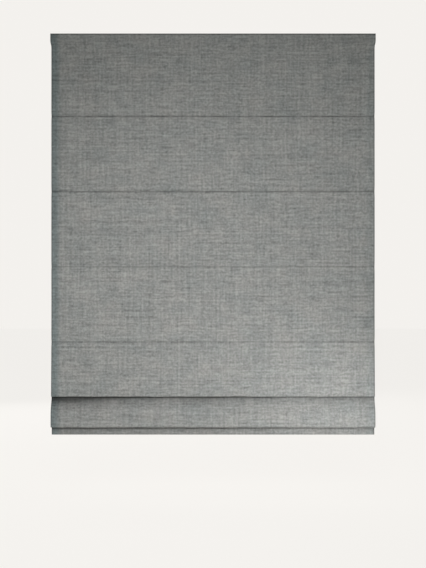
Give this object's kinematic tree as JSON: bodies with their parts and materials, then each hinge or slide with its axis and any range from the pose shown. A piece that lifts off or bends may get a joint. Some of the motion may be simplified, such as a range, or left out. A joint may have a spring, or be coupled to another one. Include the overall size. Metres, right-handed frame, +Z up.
{
  "type": "roman blind",
  "caption": "Cordless roman blind in grey linen-look fabric, part raised with two folds gathered above the hem, on a white headrail with a spring lift.",
  "frame": {"origin": "centre of the top-fix hole pattern, on the plane of the brackets' top faces", "axes": "+X to the right seen from the room, +Y towards the window, +Z up"},
  "size_m": [1.208, 0.066, 1.4894],
  "materials": {
    "linen": "mid grey linen-look weave, matte",
    "lining_cloth": "off-white cotton sateen, matte",
    "sewing_tape": "woven white tape",
    "rail_white": "white powder coat on extruded aluminium",
    "cap_white": "moulded white plastic",
    "zinc_steel": "bright zinc plate",
    "lever_steel": "zinc plate",
    "gear_white": "moulded acetal",
    "motor_grey": "moulded grey plastic",
    "spring_steel": "bright rolled strip",
    "cord_braid": "braided polyester",
    "shaft_metal": "drawn bar",
    "rod_glass": "fibreglass rod",
    "ring_plastic": "clear-white plastic",
    "bar_metal": "mill finish"
  },
  "bodies": {
    "root": {"headrail": "rail_white", "end_cap_left": "cap_white", "end_cap_right": "cap_white", "hook_tape": "sewing_tape", "loop_tape": "sewing_tape", "face_fabric": "linen", "lining": "lining_cloth", "bracket_left": "zinc_steel", "bracket_middle": "zinc_steel", "bracket_right": "zinc_steel", "bracket_rivets": "zinc_steel", "spool_cradle_1": "gear_white", "spool_cradle_2": "gear_white", "spool_cradle_3": "gear_white", "spool_cradle_4": "gear_white", "spring_motor_base": "motor_grey", "spring_motor_cover": "motor_grey", "motor_spring": "spring_steel", "lift_cord_1": "cord_braid", "lift_cord_2": "cord_braid", "lift_cord_3": "cord_braid", "lift_cord_4": "cord_braid"},
    "lever_left": {"bracket_lever_left": "lever_steel"},
    "lever_middle": {"bracket_lever_middle": "lever_steel"},
    "lever_right": {"bracket_lever_right": "lever_steel"},
    "drive_line": {"drive_shaft": "shaft_metal", "cord_spool_1": "gear_white", "cord_spool_2": "gear_white", "cord_spool_3": "gear_white", "cord_spool_4": "gear_white", "output_drum": "gear_white", "cord_turns": "cord_braid", "shaft_bushes": "gear_white"},
    "storage": {"storage_drum": "gear_white"},
    "batten_1": {"rod_1": "rod_glass", "rod_pocket_1": "sewing_tape", "rod_rings_1": "ring_plastic", "rod_caps_1": "cap_white"},
    "batten_2": {"rod_2": "rod_glass", "rod_pocket_2": "sewing_tape", "rod_rings_2": "ring_plastic", "rod_caps_2": "cap_white"},
    "batten_3": {"rod_3": "rod_glass", "rod_pocket_3": "sewing_tape", "rod_rings_3": "ring_plastic", "rod_caps_3": "cap_white"},
    "batten_4": {"rod_4": "rod_glass", "rod_pocket_4": "sewing_tape", "rod_rings_4": "ring_plastic", "rod_caps_4": "cap_white"},
    "bottom": {"rod_5": "rod_glass", "rod_pocket_5": "sewing_tape", "rod_rings_5": "ring_plastic", "rod_caps_5": "cap_white", "bottom_bar": "bar_metal", "bottom_bar_caps": "cap_white", "hem_rings": "ring_plastic", "cord_ends": "ring_plastic"}
  },
  "joints": [
    {"name": "lift", "type": "slide", "parent": "root", "child": "bottom", "axis": [0, 0, 1], "range_m": [0, 1.104], "deforming": ["face_fabric", "lining", "lift_cord_1", "lift_cord_2", "lift_cord_3", "lift_cord_4"]},
    {"name": "batten_1_rise", "type": "slide", "parent": "root", "child": "batten_1", "axis": [0, 0, 1], "range_m": [0, 0.2704]},
    {"name": "batten_2_rise", "type": "slide", "parent": "root", "child": "batten_2", "axis": [0, 0, 1], "range_m": [0, 0.5145]},
    {"name": "batten_3_rise", "type": "slide", "parent": "root", "child": "batten_3", "axis": [0, 0, 1], "range_m": [0, 0.7586]},
    {"name": "batten_4_rise", "type": "slide", "parent": "root", "child": "batten_4", "axis": [0, 0, 1], "range_m": [0, 1.0026]},
    {"name": "drive_spin", "type": "hinge", "parent": "root", "child": "drive_line", "pos_m": [0, -0.0016, -0.0195], "axis": [-1, 0, 0], "range_deg": [0, 7200]},
    {"name": "storage_spin", "type": "hinge", "parent": "root", "child": "storage", "pos_m": [0.3, 0.0118, -0.0195], "axis": [-1, 0, 0], "range_deg": [0, 11520]},
    {"name": "lever_left_turn", "type": "hinge", "parent": "root", "child": "lever_left", "pos_m": [-0.54, 0, -0.004], "axis": [0, 0, -1], "range_deg": [0, 90]},
    {"name": "lever_middle_turn", "type": "hinge", "parent": "root", "child": "lever_middle", "pos_m": [0, 0, -0.004], "axis": [0, 0, -1], "range_deg": [0, 90]},
    {"name": "lever_right_turn", "type": "hinge", "parent": "root", "child": "lever_right", "pos_m": [0.54, 0, -0.004], "axis": [0, 0, -1], "range_deg": [0, 90]}
  ],
  "couplings": [
    {"joint": "batten_1_rise", "follows": "lift", "ratio": 0.24406},
    {"joint": "batten_2_rise", "follows": "lift", "ratio": 0.46514},
    {"joint": "batten_3_rise", "follows": "lift", "ratio": 0.68621},
    {"joint": "batten_4_rise", "follows": "lift", "ratio": 0.90729},
    {"joint": "drive_spin", "follows": "lift", "rad_per_m": 113.64},
    {"joint": "storage_spin", "follows": "lift", "rad_per_m": 181.82}
  ]
}
